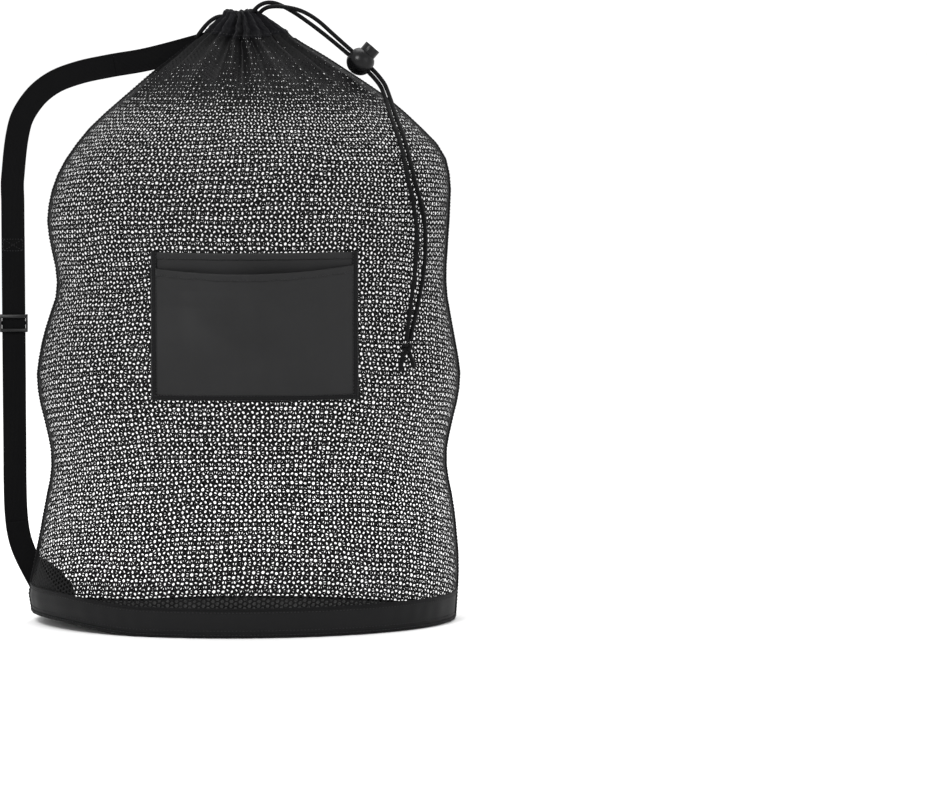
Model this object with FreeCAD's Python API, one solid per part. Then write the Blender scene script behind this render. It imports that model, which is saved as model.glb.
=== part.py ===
"""Drawstring mesh ball bag in its filled shape: net body, base band, pocket, shoulder strap, cord lock.

Millimetres. The bag stands on the plane Z = 0 with the origin under the middle of its base.
The pocket faces -Y, the shoulder strap is on the -X side and the drawcord hangs on the +X side.
"""
import FreeCAD, Part
import math
import os

V = FreeCAD.Vector

# ---- driving dimensions ----
NET_THICK = 1.5              # wall of the net body
SEWING_GAP = 0.6             # air left between sewn layers
FIT_GAP = 0.3                # air left beside what slides or turns
HEM_FOOT = 760.0             # the net body ends here and the hem casing starts
HEM_TOP = 790.0
BAND_HEIGHT = 38.0           # solid fabric band along the front of the base
FLOOR_THICK = 2.0
BINDING_THICK = 2.2
SEAM_TAPE_TURN = 2.6         # width of the tape over each side seam, in degrees round the body
SEAM_TAPE_GAP = 1.2          # air under that tape
PANEL_EDGE_TURN = 0.12       # each panel stops this many degrees short of the side seam
BASE_BINDING_HEIGHT = 7.0
PIPING_HEIGHT = 3.0          # the piping along the top of the base band
CORNER_PATCH_RISE = 112.0    # the doubled corner below the strap is cut on a slant from here
CORNER_PATCH_RUN = 95.0
CORNER_PATCH_THICK = 1.2

WEB_WIDTH = 30.0             # shoulder strap webbing
WEB_THICK = 2.2
SWING_GAP = 2.5              # the strap turns beside its anchors across this gap
SLIDER_Z = 388.0
SLIDER_HEIGHT = 23.0
SLIDER_WIDTH = 36.0
SLIDER_BAR = 4.5
SLIDER_FRONT_THICK = 3.0
SLIDER_BACK_THICK = 2.0
SLIDER_SIDE_ROOM = 0.6       # air beside the webbing inside the slider's rails
SLIDER_CORNER = 1.0
RETURN_LAYER_FOOT = 300.0    # the doubled stretch of webbing behind the slider
RETURN_LAYER_TOP = 500.0

CORD_DIAMETER = 5.5
CORD_CLEARANCE = 0.5
LOCK_SLOT_ROOM = 1.1         # air round the strands where they run through the lock
CORD_RING_RADIUS = 21.0      # the drawcord's ring inside the hem casing
CORD_RING_Z = 780.0
MOUTH_RADIUS = 9.0           # what is left open when the mouth is drawn shut
MOUTH_FLARE = (45.0, 15.0)   # radius and height of the hollow cone below the mouth
HEM_FOOT_RADIUS = 54.0
HEM_WAIST_RADIUS = 38.0
HEM_TOP_RADIUS = 29.0
HEM_DEPTH_SHARE = 0.93       # the hem is a little shallower than it is wide
HEM_PLEATS = 11
HEM_PLEAT_DEPTH = 0.07       # of the casing's radius

LOCK_CENTRE = V(149.6, -27, 726.6)
LOCK_RADIUS = 18.0
LOCK_FLAT = 13.2             # the ball is cut flat this far above its middle
HEAD_SEAT = 8.4              # the button's head sinks into a recess down to here
BORE_DEPTH = 15.5
BUTTON_RADIUS = 11.0
BUTTON_TOP = 24.8
STEM_RADIUS = 8.0
BUTTON_TRAVEL = 4.0
STEM_BELOW_SLOT = 2.0        # plastic of the stem that is left under the cords
HEAD_CLEARANCE = 0.6         # air under the pressed button's head
SPRING_TURNS = 2
SPRING_WIRE = 0.7
SPRING_RADIUS = 6.0
SPRING_END_GAP = 0.1

POCKET_LEFT = -119.0
POCKET_RIGHT = 143.0
POCKET_FOOT = 303.0
POCKET_TOP = 489.0
POCKET_BINDING = 8.0
POCKET_CLOTH = 1.4
POCKET_GAPE = 15.0           # how far the pocket's mouth stands open at its middle
POCKET_HEM = 9.0
POCKET_HEM_EXTRA = 0.8       # the folded hem is thicker than the cloth by this
POCKET_SAG = 26.0            # the front panel's edge hangs this far below the back one's
POCKET_BACK_LIFT = 1.6       # the back cloth's stand off the net
POCKET_BINDING_LIFT = 1.3
POCKET_BINDING_THICK = 4.6

# Body sections from the floor up: height, middle in X, half width, half depth.
BODY_SECTIONS = [
    (0, -3, 274, 186),
    (24, -4, 277, 194),
    (76, 1.5, 273.5, 203),
    (145, 4.5, 264.5, 203),
    (214, 4.5, 254.5, 198),
    (312, 4.5, 272.5, 207),
    (375, 5, 263.5, 203),
    (436, 9, 250, 197),
    (521, 5, 258, 200),
    (575, 11, 253, 193),
    (612, 16, 237, 178),
    (645, 14, 208, 158),
    (678, 14, 171, 135),
    (717, 8, 120, 100),
    (HEM_FOOT, 2, 58, 53),
]

# The drawcord's two free strands, from inside the hem down to the knot.
UPPER_STRAND = [
    (12, -7, 775), (20, -16, 794), (44, -29, 799), (84, -30, 790), (125.6, -27, 751.4), (177.6, -27, 706.4),
    (188, -44, 679), (193, -69, 659), (205, -101, 628), (214, -130, 583), (229, -115, 533), (231, -106, 482),
    (224, -113, 431), (209, -141, 376),
]
LOWER_STRAND = [
    (2, -14, 776), (13, -17, 796), (34, -19, 805), (60, -19, 793), (90, -22, 772), (121.6, -27, 746.8),
    (173.6, -27, 701.8), (182, -49, 677), (187, -80, 656), (199, -112, 624), (206, -138, 581), (218, -126, 532),
    (219, -119, 481), (212, -127, 430), (204, -149, 375),
]
SIDE_LOOP = [(-15, -4, 776), (-34, -6, 800), (-62, -7, 756)]
LEFT_TAIL = [(202, -151, 359), (198, -153, 348), (196, -155, 336)]
RIGHT_TAIL = [(208, -147, 359), (212, -146, 350), (213, -146, 341)]
KNOT_CENTRE = V(205, -148, 365)
KNOT_RADIUS = 8.5

# The strap's centreline (X, Z) in the plane Y = 0: two curves joined by a straight stretch.
STRAP_UPPER_CURVE = [(-124, 729.5), (-175, 720.5), (-214, 712), (-247, 699), (-272, 678), (-290, 646), (-300, 575)]
STRAP_LOWER_CURVE = [(-300, 181), (-299, 142), (-295.5, 112), (-287.5, 87)]
UPPER_ANCHOR_END = (-72, 744.5)
LOWER_ANCHOR_END = (-267, 46)
STRAP_X = STRAP_UPPER_CURVE[-1][0]


# ---- helpers ----
def save(node, shape):
    shape.exportStep("parts/" + node + ".step")


def evenly(first, last, count):
    return [first + (last - first) * i / (count - 1) for i in range(count)]


def body_section(height):
    """Middle, half width and half depth at any height, eased between the listed sections."""
    rows = BODY_SECTIONS
    i = 0
    while i < len(rows) - 2 and height > rows[i + 1][0]:
        i += 1
    low, high = rows[i], rows[i + 1]
    span = high[0] - low[0]
    t = (height - low[0]) / span
    values = []
    for k in (1, 2, 3):
        before = rows[max(i - 1, 0)]
        after = rows[min(i + 2, len(rows) - 1)]
        slope_low = (high[k] - before[k]) / (high[0] - before[0]) * span
        slope_high = (after[k] - low[k]) / (after[0] - low[0]) * span
        rise = high[k] - low[k]
        values.append(
            low[k] + slope_low * (t - 2 * t**2 + t**3) + slope_high * (t**3 - t**2) + rise * (3 * t**2 - 2 * t**3)
        )
    return values


def body_point(angle, height, offset):
    """A point on the body's outside, grown sideways by the offset; angle 0 is +X and -90 is the front."""
    middle, half_width, half_depth = body_section(height)
    a = math.radians(angle)
    return V(middle + (half_width + offset) * math.cos(a), (half_depth + offset) * math.sin(a), height)


def front_point(x, height, offset):
    """The point on the body's front at this x."""
    middle, half_width, half_depth = body_section(height)
    across = (x - middle) / (half_width + offset)
    return V(x, -(half_depth + offset) * math.sqrt(1 - across**2), height)


def cloth(inner_grid, outer_grid):
    """A closed solid between two grids of points of the same size."""
    faces = []
    for grid in (inner_grid, outer_grid):
        surface = Part.BSplineSurface()
        surface.interpolate(grid)
        faces.append(surface)
    inner, outer = faces
    sides = []
    for side in ("u0", "u1", "v0", "v1"):
        edges = []
        for surface in (inner, outer):
            u0, u1, v0, v1 = surface.bounds()
            curve = {
                "u0": lambda: surface.uIso(u0),
                "u1": lambda: surface.uIso(u1),
                "v0": lambda: surface.vIso(v0),
                "v1": lambda: surface.vIso(v1),
            }[side]()
            edges.append(curve.toShape())
        sides.append(Part.makeRuledSurface(edges[0], edges[1]))
    shell = Part.makeShell([inner.toShape(), outer.toShape()] + sides)
    shell.sewShape()
    solid = Part.makeSolid(Part.Shell(shell.Faces))
    if solid.Volume < 0:
        solid.reverse()
    return solid


def body_cloth(angles, heights, inside, outside):
    """A cloth layer round part of the body between two offsets."""
    grids = [[[body_point(a, z, offset) for z in heights] for a in angles] for offset in (inside, outside)]
    return cloth(*grids)


def block(x0, x1, y0, y1, z0, z1):
    return Part.makeBox(x1 - x0, y1 - y0, z1 - z0, V(x0, y0, z0))


def cord_tube(points, diameter, report=""):
    """A tube along straight runs joined by tangent arcs."""
    corners = [V(*p) for p in points]
    edges = []
    radii = []
    start = corners[0]
    for before, corner, after in zip(corners, corners[1:], corners[2:]):
        to_before = (before - corner).normalize()
        to_after = (after - corner).normalize()
        half_turn = (math.pi - to_before.getAngle(to_after)) / 2
        setback = 0.45 * min((before - corner).Length, (after - corner).Length)
        radius = setback / math.tan(half_turn)
        radii.append(radius)
        inward = (to_before + to_after).normalize()
        arc_start = corner + to_before * setback
        arc_middle = corner + inward * (radius / math.cos(half_turn) - radius)
        arc_end = corner + to_after * setback
        edges.append(Part.LineSegment(start, arc_start).toShape())
        edges.append(Part.Arc(arc_start, arc_middle, arc_end).toShape())
        start = arc_end
    edges.append(Part.LineSegment(start, corners[-1]).toShape())
    route = Part.Wire(edges)
    if report:
        print("%s: length %.0f, tightest radius %.1f" % (report, route.Length, min(radii)))
    section = Part.Wire([Part.makeCircle(diameter / 2, corners[0], corners[1] - corners[0])])
    return route.makePipeShell([section], True, True)


def band_edges(curve, samples, width):
    """The two edges of a flat band along a curve in the plane Y = 0."""
    first, last = curve.FirstParameter, curve.LastParameter
    edges = []
    for side in (-0.5, 0.5):
        points = []
        for parameter in evenly(first, last, samples):
            tangent = V(*curve.tangent(parameter)[0])
            points.append(curve.value(parameter) + tangent.cross(V(0, 1, 0)) * (width * side))
        edge = Part.BSplineCurve()
        edge.interpolate(points)
        edges.append(edge.toShape())
    return edges


def flat_band(curve, samples, width, thickness, y_low):
    """Webbing with its faces along Y, its centreline a curve in the plane Y = 0."""
    one, other = band_edges(curve, samples, width)
    face = Part.makeRuledSurface(one, other)
    face.translate(V(0, y_low, 0))
    return face.extrude(V(0, thickness, 0))


def plane_curve(points, start_direction, end_direction):
    curve = Part.BSplineCurve()
    curve.interpolate(
        [V(x, 0, z) for x, z in points],
        InitialTangent=start_direction,
        FinalTangent=end_direction,
    )
    return curve


def direction(start, end):
    """The unit vector between two (X, Z) points."""
    return V(end[0] - start[0], 0, end[1] - start[1]).normalize()


# ---- shoulder strap ----
def strap_curves():
    down = V(0, 0, -1)
    from_upper_tab = direction(UPPER_ANCHOR_END, STRAP_UPPER_CURVE[0])
    to_lower_tab = direction(STRAP_LOWER_CURVE[-1], LOWER_ANCHOR_END)
    upper = plane_curve(STRAP_UPPER_CURVE, from_upper_tab * 50, down * 60)
    lower = plane_curve(STRAP_LOWER_CURVE, down * 40, to_lower_tab * 25)
    return upper, lower


def strap_webbing():
    upper, lower = strap_curves()
    y_low = -WEB_THICK / 2
    straight = block(
        STRAP_X - WEB_WIDTH / 2, STRAP_X + WEB_WIDTH / 2,
        y_low, y_low + WEB_THICK,
        STRAP_LOWER_CURVE[0][1], STRAP_UPPER_CURVE[-1][1],
    )
    bands = [flat_band(curve, 11, WEB_WIDTH, WEB_THICK, y_low) for curve in (upper, lower)]
    return straight.fuse(bands)


def anchor_tab(strap_end, tab_end, width=WEB_WIDTH, thickness=WEB_THICK, lead=SWING_GAP):
    """A short straight tab of webbing that runs from beside the strap's end into the side seam."""
    start = V(strap_end[0], 0, strap_end[1])
    end = V(tab_end[0], 0, tab_end[1])
    along = direction(strap_end, tab_end)
    start = start + along * lead
    across = along.cross(V(0, 1, 0)) * (width / 2)
    low = V(0, -thickness / 2, 0)
    corners = [start + across + low, end + across + low, end - across + low, start - across + low]
    return Part.Face(Part.makePolygon(corners + corners[:1])).extrude(V(0, thickness, 0))


def anchor_tabs(grow=0.0):
    """Upper and lower anchor tabs, or the slits round them when grown."""
    width = WEB_WIDTH + 2 * grow
    thickness = WEB_THICK + 2 * grow
    ends = [(STRAP_UPPER_CURVE[0], UPPER_ANCHOR_END), (STRAP_LOWER_CURVE[-1], LOWER_ANCHOR_END)]
    return [anchor_tab(outer, inner, width, thickness) for outer, inner in ends]


def strap_return_layer():
    """The second layer of webbing behind the slider, closed by a folded hem at its top."""
    y_low = WEB_THICK / 2 + FIT_GAP
    left, right = STRAP_X - WEB_WIDTH / 2, STRAP_X + WEB_WIDTH / 2
    return block(left, right, y_low, y_low + WEB_THICK, RETURN_LAYER_FOOT, RETURN_LAYER_TOP)


def strap_slider():
    """Two front bars and one back bar joined by side rails, so the webbing weaves through it."""
    front = -WEB_THICK / 2 - FIT_GAP
    back = WEB_THICK * 1.5 + 3 * FIT_GAP
    face, rear = front - SLIDER_FRONT_THICK, back + SLIDER_BACK_THICK
    left, right = STRAP_X - SLIDER_WIDTH / 2, STRAP_X + SLIDER_WIDTH / 2
    low, high = SLIDER_Z - SLIDER_HEIGHT / 2, SLIDER_Z + SLIDER_HEIGHT / 2
    inner = WEB_WIDTH / 2 + SLIDER_SIDE_ROOM
    rails = [
        block(left, STRAP_X - inner, face, rear, low, high),
        block(STRAP_X + inner, right, face, rear, low, high),
    ]
    bars = [
        block(left, right, face, front, low, low + SLIDER_BAR),
        block(left, right, face, front, high - SLIDER_BAR, high),
        block(left, right, back, rear, SLIDER_Z - SLIDER_BAR / 2, SLIDER_Z + SLIDER_BAR / 2),
    ]
    frame = rails[0].fuse(rails[1:] + bars).removeSplitter()
    outer_corners = [
        edge for edge in frame.Edges
        if abs(edge.tangentAt(edge.FirstParameter).y) > 0.9
        and min(abs(edge.BoundBox.Center.x - left), abs(edge.BoundBox.Center.x - right)) < 0.1
    ]
    return frame.makeFillet(SLIDER_CORNER, outer_corners)


# ---- neck ----
def hem_outline(height, radius, middle):
    """A gathered ring of cloth: a circle whose edge rises and falls with the pleats."""
    points = []
    for angle in evenly(0, 2 * math.pi, 4 * HEM_PLEATS + 1)[:-1]:
        reach = radius * (1 + HEM_PLEAT_DEPTH * math.cos(HEM_PLEATS * angle))
        points.append(V(middle + reach * math.cos(angle), HEM_DEPTH_SHARE * reach * math.sin(angle), height))
    curve = Part.BSplineCurve()
    curve.interpolate(points, PeriodicFlag=True)
    return Part.Wire([curve.toShape()])


def neck_hem(cord_cuts):
    """The gathered casing round the mouth, hollow below, with the drawcord's channel inside it."""
    outlines = [
        hem_outline(HEM_FOOT + SEWING_GAP, HEM_FOOT_RADIUS, 2),
        hem_outline(CORD_RING_Z - 2, HEM_WAIST_RADIUS, 0),
        hem_outline(HEM_TOP, HEM_TOP_RADIUS, -1),
    ]
    casing = Part.makeLoft(outlines, True)
    flare = Part.makeCone(MOUTH_FLARE[0], MOUTH_RADIUS, MOUTH_FLARE[1], V(0, 0, HEM_FOOT))
    mouth = Part.makeCylinder(MOUTH_RADIUS, HEM_TOP - HEM_FOOT + 10, V(0, 0, HEM_FOOT))
    channel = Part.makeTorus(CORD_RING_RADIUS, CORD_DIAMETER / 2 + CORD_CLEARANCE, V(0, 0, CORD_RING_Z))
    return casing.cut([flare, mouth, channel] + cord_cuts)


def drawcord_ring():
    """The cord inside the hem, open where its ends leave and where it shows at the side."""
    arcs = []
    for start, end in ((0, 165), (210, 256)):
        radius = CORD_RING_RADIUS
        ring = Part.makeTorus(radius, CORD_DIAMETER / 2, V(0, 0, 0), V(0, 0, 1), 0, 360, end - start)
        ring.rotate(V(0, 0, 0), V(0, 0, 1), start)
        ring.translate(V(0, 0, CORD_RING_Z))
        arcs.append(ring)
    return Part.makeCompound(arcs)


# ---- cord lock ----
CORD_DIRECTION = (V(*UPPER_STRAND[5]) - V(*UPPER_STRAND[4])).normalize()
BUTTON_DIRECTION = V(0, 1, 0).cross(CORD_DIRECTION).normalize() * -1
STRAND_SPACING = (V(*UPPER_STRAND[4]) - V(*LOWER_STRAND[5])).Length


def on_lock(height):
    return LOCK_CENTRE + BUTTON_DIRECTION * height


def cord_slot(low, high):
    """A slot right through the lock for both strands, reaching from low to high along the button."""
    half_width = CORD_DIAMETER / 2 + LOCK_SLOT_ROOM
    corners = []
    for height, side in ((low, -1), (high, -1), (high, 1), (low, 1)):
        corners.append(on_lock(height) + V(0, side * half_width, 0) - CORD_DIRECTION * (LOCK_RADIUS + 2))
    face = Part.Face(Part.makePolygon(corners + corners[:1]))
    return face.extrude(CORD_DIRECTION * (2 * LOCK_RADIUS + 4))


def slot_reach():
    return STRAND_SPACING / 2 + CORD_DIAMETER / 2 + LOCK_SLOT_ROOM


def cord_lock_body():
    ball = Part.makeSphere(LOCK_RADIUS, LOCK_CENTRE)
    above = Part.makeCylinder(LOCK_RADIUS + 1, LOCK_RADIUS, on_lock(LOCK_FLAT), BUTTON_DIRECTION)
    bore = Part.makeCylinder(
        STEM_RADIUS + FIT_GAP, BORE_DEPTH + LOCK_FLAT + 1, on_lock(-BORE_DEPTH), BUTTON_DIRECTION
    )
    recess = Part.makeCylinder(
        BUTTON_RADIUS + FIT_GAP, LOCK_FLAT + 1 - HEAD_SEAT, on_lock(HEAD_SEAT), BUTTON_DIRECTION
    )
    return ball.cut([above, bore, recess, cord_slot(-slot_reach(), slot_reach())])


def cord_lock_button():
    stem_foot = -slot_reach() - STEM_BELOW_SLOT
    head_foot = HEAD_SEAT + BUTTON_TRAVEL + HEAD_CLEARANCE
    stem = Part.makeCylinder(STEM_RADIUS, head_foot - stem_foot, on_lock(stem_foot), BUTTON_DIRECTION)
    head = Part.makeCylinder(BUTTON_RADIUS, BUTTON_TOP - head_foot, on_lock(head_foot), BUTTON_DIRECTION)
    return stem.fuse(head).cut(cord_slot(-slot_reach(), slot_reach() + BUTTON_TRAVEL + CORD_CLEARANCE))


def cord_lock_spring():
    """A coil spring between the bore's end and the stem."""
    end_room = SPRING_WIRE / 2 + SPRING_END_GAP
    foot = -BORE_DEPTH + end_room
    top = -slot_reach() - STEM_BELOW_SLOT - end_room
    helix = Part.makeHelix((top - foot) / SPRING_TURNS, top - foot, SPRING_RADIUS)
    section = Part.Wire([Part.makeCircle(SPRING_WIRE / 2, V(SPRING_RADIUS, 0, 0), V(0, 1, 0))])
    coil = Part.Wire(helix.Edges).makePipeShell([section], True, True)
    turn = FreeCAD.Rotation(V(0, 0, 1), BUTTON_DIRECTION)
    coil.Placement = FreeCAD.Placement(on_lock(foot), turn)
    return coil


# ---- pocket ----
def mouth_height(x):
    """The sagging top edge of the pocket's front panel."""
    half = (POCKET_RIGHT - POCKET_LEFT) / 2
    across = (x - (POCKET_LEFT + POCKET_RIGHT) / 2) / half
    return POCKET_TOP - POCKET_SAG + 8 * across**2 + 2 * across


def gape(x, height):
    """How far the front panel stands off the back one: nothing at its sewn edges, most at its mouth."""
    across = (x - POCKET_LEFT) / (POCKET_RIGHT - POCKET_LEFT)
    up = (height - POCKET_FOOT) / (POCKET_TOP - POCKET_FOOT)
    return POCKET_GAPE * math.sin(math.pi * across) ** 0.8 * math.sin(math.pi / 2 * up) ** 0.8


def front_cloth(x0, x1, foot, top, lift, thickness, columns=9, rows=7):
    """A patch over the body's front; foot, top and lift are functions of x, or of x and height."""
    grids = []
    for extra in (0, thickness):
        grid = []
        for x in evenly(x0, x1, columns):
            heights = evenly(foot(x), top(x), rows)
            grid.append([front_point(x, z, 0) - V(0, lift(x, z) + extra, 0) for z in heights])
        grids.append(grid)
    return cloth(*grids)


def pocket_pieces():
    left = POCKET_LEFT + POCKET_BINDING + SEWING_GAP
    right = POCKET_RIGHT - POCKET_BINDING - SEWING_GAP
    foot = POCKET_FOOT + POCKET_BINDING + SEWING_GAP
    front_lift = POCKET_BACK_LIFT + POCKET_CLOTH + SEWING_GAP
    hem_thick = POCKET_CLOTH + POCKET_HEM_EXTRA
    mouth_foot = POCKET_HEM + SEWING_GAP

    def flat(value):
        return lambda *place: value

    def front_panel_lift(x, z):
        return front_lift + gape(x, z)

    return {
        "pocket_back_panel": front_cloth(
            left, right, flat(foot), flat(POCKET_TOP - mouth_foot), flat(POCKET_BACK_LIFT), POCKET_CLOTH
        ),
        "pocket_back_hem": front_cloth(
            left, right, flat(POCKET_TOP - POCKET_HEM), flat(POCKET_TOP), flat(POCKET_BACK_LIFT), hem_thick
        ),
        "pocket_front_panel": front_cloth(
            left, right, flat(foot), lambda x: mouth_height(x) - mouth_foot, front_panel_lift, POCKET_CLOTH
        ),
        "pocket_front_hem": front_cloth(
            left, right, lambda x: mouth_height(x) - POCKET_HEM, mouth_height, front_panel_lift, hem_thick
        ),
        "pocket_left_binding": front_cloth(
            POCKET_LEFT, POCKET_LEFT + POCKET_BINDING, flat(POCKET_FOOT), flat(POCKET_TOP),
            flat(POCKET_BINDING_LIFT), POCKET_BINDING_THICK, 4, 9,
        ),
        "pocket_right_binding": front_cloth(
            POCKET_RIGHT - POCKET_BINDING, POCKET_RIGHT, flat(POCKET_FOOT), flat(POCKET_TOP),
            flat(POCKET_BINDING_LIFT), POCKET_BINDING_THICK, 4, 9,
        ),
        "pocket_bottom_binding": front_cloth(
            left, right, flat(POCKET_FOOT), flat(POCKET_FOOT + POCKET_BINDING),
            flat(POCKET_BINDING_LIFT), POCKET_BINDING_THICK, 9, 4,
        ),
    }


# ---- body ----
def body_pieces(slits, side_loop_cut):
    wall = -NET_THICK
    front = evenly(-180 + PANEL_EDGE_TURN, -PANEL_EDGE_TURN, 17)
    back = evenly(PANEL_EDGE_TURN, 180 - PANEL_EDGE_TURN, 17)
    net_heights = evenly(BAND_HEIGHT + SEWING_GAP, HEM_FOOT, 36)
    back_heights = evenly(FLOOR_THICK + SEWING_GAP, HEM_FOOT, 38)
    tape_heights = evenly(BASE_BINDING_HEIGHT + SEWING_GAP, HEM_FOOT, 38)
    binding_out = SEWING_GAP + BINDING_THICK
    tape_out = SEAM_TAPE_GAP + BINDING_THICK
    band_top = evenly(BAND_HEIGHT - PIPING_HEIGHT / 2, BAND_HEIGHT + PIPING_HEIGHT / 2, 3)
    low = evenly(FLOOR_THICK + SEWING_GAP, BAND_HEIGHT, 5)
    foot = evenly(0, BASE_BINDING_HEIGHT, 4)
    half_tape = SEAM_TAPE_TURN / 2
    beside_tape = half_tape + PANEL_EDGE_TURN
    piping_run = evenly(-180 + beside_tape, -beside_tape, 17)
    return {
        "front_mesh_panel": body_cloth(front, net_heights, wall, 0).cut(slits + [side_loop_cut]),
        "back_mesh_panel": body_cloth(back, back_heights, wall, 0).cut(slits),
        "base_band": body_cloth(front, low, wall, 0).cut(slits),
        "base_band_piping": body_cloth(piping_run, band_top, SEWING_GAP, binding_out),
        "front_base_binding": body_cloth(evenly(-180, 0, 17), foot, SEWING_GAP, binding_out),
        "back_base_binding": body_cloth(back, foot, SEWING_GAP, binding_out),
        "left_seam_binding": body_cloth(
            evenly(180 - half_tape, 180 + half_tape, 5), tape_heights, SEAM_TAPE_GAP, tape_out
        ).cut(slits + [side_loop_cut]),
        "right_seam_binding": body_cloth(
            evenly(-half_tape, half_tape, 5), tape_heights, SEAM_TAPE_GAP, tape_out
        ),
        "base_panel": base_panel(),
        "corner_patch": corner_patch().cut(slits),
    }


def base_panel():
    middle, half_width, half_depth = body_section(0)
    oval = Part.Ellipse(V(middle, 0, 0), half_width - SEWING_GAP, half_depth - SEWING_GAP)
    return Part.Face(Part.Wire([oval.toShape()])).extrude(V(0, 0, FLOOR_THICK))


def corner_patch():
    """The doubled cloth inside the corner below the strap, cut on the slant."""
    outside = -NET_THICK - SEWING_GAP - 1
    heights = evenly(FLOOR_THICK + 1, 90, 9)
    layer = body_cloth(evenly(155, 205, 13), heights, outside - CORNER_PATCH_THICK, outside)
    left, below, front = -300, -10, -300
    corners = [V(left, front, below), V(left + CORNER_PATCH_RUN, front, below), V(left, front, CORNER_PATCH_RISE)]
    wedge = Part.Face(Part.makePolygon(corners + corners[:1])).extrude(V(0, 600, 0))
    return layer.common(wedge)


def main():
    os.makedirs("parts", exist_ok=True)
    slits = anchor_tabs(SEWING_GAP)
    clear_diameter = CORD_DIAMETER + 2 * CORD_CLEARANCE
    cord_cuts = [cord_tube(route, clear_diameter) for route in (UPPER_STRAND[:4], LOWER_STRAND[:4], SIDE_LOOP)]
    for node, shape in body_pieces(slits, cord_cuts[2]).items():
        save(node, shape)
    for node, shape in pocket_pieces().items():
        save(node, shape)
    save("neck_hem", neck_hem(cord_cuts + slits))
    save("drawcord_ring", drawcord_ring())
    save("drawcord_side_loop", cord_tube(SIDE_LOOP, CORD_DIAMETER, "side loop"))
    knot = Part.makeSphere(KNOT_RADIUS, KNOT_CENTRE)
    save("drawcord_knot", knot)
    save("drawcord_upper_strand", cord_tube(UPPER_STRAND, CORD_DIAMETER, "upper strand").cut(knot))
    save("drawcord_lower_strand", cord_tube(LOWER_STRAND, CORD_DIAMETER, "lower strand").cut(knot))
    save("drawcord_left_tail", cord_tube(LEFT_TAIL, CORD_DIAMETER, "left tail").cut(knot))
    save("drawcord_right_tail", cord_tube(RIGHT_TAIL, CORD_DIAMETER, "right tail").cut(knot))
    save("cord_lock_body", cord_lock_body())
    save("cord_lock_button", cord_lock_button())
    save("cord_lock_spring", cord_lock_spring())
    upper_tab, lower_tab = anchor_tabs()
    save("strap_upper_anchor", upper_tab)
    save("strap_lower_anchor", lower_tab)
    save("strap_webbing", strap_webbing())
    save("strap_return_layer", strap_return_layer())
    save("strap_slider", strap_slider())


main()
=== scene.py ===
"""Looks of the mesh ball bag.

Knitted net, gathered neck, pocket, webbing strap, braided drawcord and cord lock.
"""
import math

import bmesh
import bpy
import numpy as np
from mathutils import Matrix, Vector
from mathutils.bvhtree import BVHTree


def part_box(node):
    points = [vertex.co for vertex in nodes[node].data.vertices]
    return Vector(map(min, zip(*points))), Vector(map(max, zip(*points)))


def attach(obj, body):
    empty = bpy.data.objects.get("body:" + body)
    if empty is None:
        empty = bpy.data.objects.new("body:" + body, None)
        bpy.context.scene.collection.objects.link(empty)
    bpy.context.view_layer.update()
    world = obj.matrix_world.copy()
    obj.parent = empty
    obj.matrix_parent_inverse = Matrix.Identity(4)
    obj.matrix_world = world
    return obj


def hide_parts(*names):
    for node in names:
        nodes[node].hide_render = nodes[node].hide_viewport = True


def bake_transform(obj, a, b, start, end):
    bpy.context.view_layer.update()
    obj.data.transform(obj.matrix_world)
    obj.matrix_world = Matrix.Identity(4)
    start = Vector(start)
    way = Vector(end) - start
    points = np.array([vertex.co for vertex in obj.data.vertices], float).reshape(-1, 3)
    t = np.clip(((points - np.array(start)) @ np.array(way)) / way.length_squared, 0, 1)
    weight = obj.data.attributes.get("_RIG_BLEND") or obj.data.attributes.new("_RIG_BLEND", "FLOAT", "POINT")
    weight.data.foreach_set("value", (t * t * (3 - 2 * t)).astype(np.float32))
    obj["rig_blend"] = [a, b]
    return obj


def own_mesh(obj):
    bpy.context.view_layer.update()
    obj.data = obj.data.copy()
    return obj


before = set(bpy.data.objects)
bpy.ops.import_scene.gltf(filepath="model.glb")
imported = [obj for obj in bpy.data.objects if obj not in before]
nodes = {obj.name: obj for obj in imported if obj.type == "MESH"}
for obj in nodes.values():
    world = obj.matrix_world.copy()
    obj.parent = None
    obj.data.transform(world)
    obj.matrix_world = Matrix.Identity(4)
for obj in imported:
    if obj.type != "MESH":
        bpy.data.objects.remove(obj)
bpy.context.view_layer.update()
rng = np.random.default_rng(7)

# ---- driving sizes, in metres ----
HOLE_COLUMN = 0.0059         # spacing of the net's hole columns, round the bag
HOLE_ROW = 0.0062            # spacing of holes in a column
HOLE_RADIUS = 0.00235
NET_PARTS = 2                # pieces of net up each panel
NET_TOP = 0.770
STRAND_CROWN = 0.0005        # a strand's middle stands this far above its edges
FLAT_WIDTH = 0.762           # one panel from seam to seam, cut flat
PLEATS = 20                  # folds round the gathered neck
DEEPEST_PLEAT = 0.019
FOOT = 0.003                 # lowest height at which the body is measured
HEM_FOOT, HEM_TOP = 0.757, 0.790
HEM_SECTIONS = [             # height, middle, half width, half depth of the gathered hem
    (0.766, 0.003, 0.0520, 0.0470), (0.772, 0.001, 0.0450, 0.0410), (0.778, 0.001, 0.0375, 0.0350),
    (0.785, 0.000, 0.0275, 0.0265), (0.790, -0.003, 0.0215, 0.0210),
]
CORD_DIAMETER = 0.0055
TAPE_THICK = 0.0026          # binding along the seams and round the foot
STRAP_X = -0.300             # where the strap hangs


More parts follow.
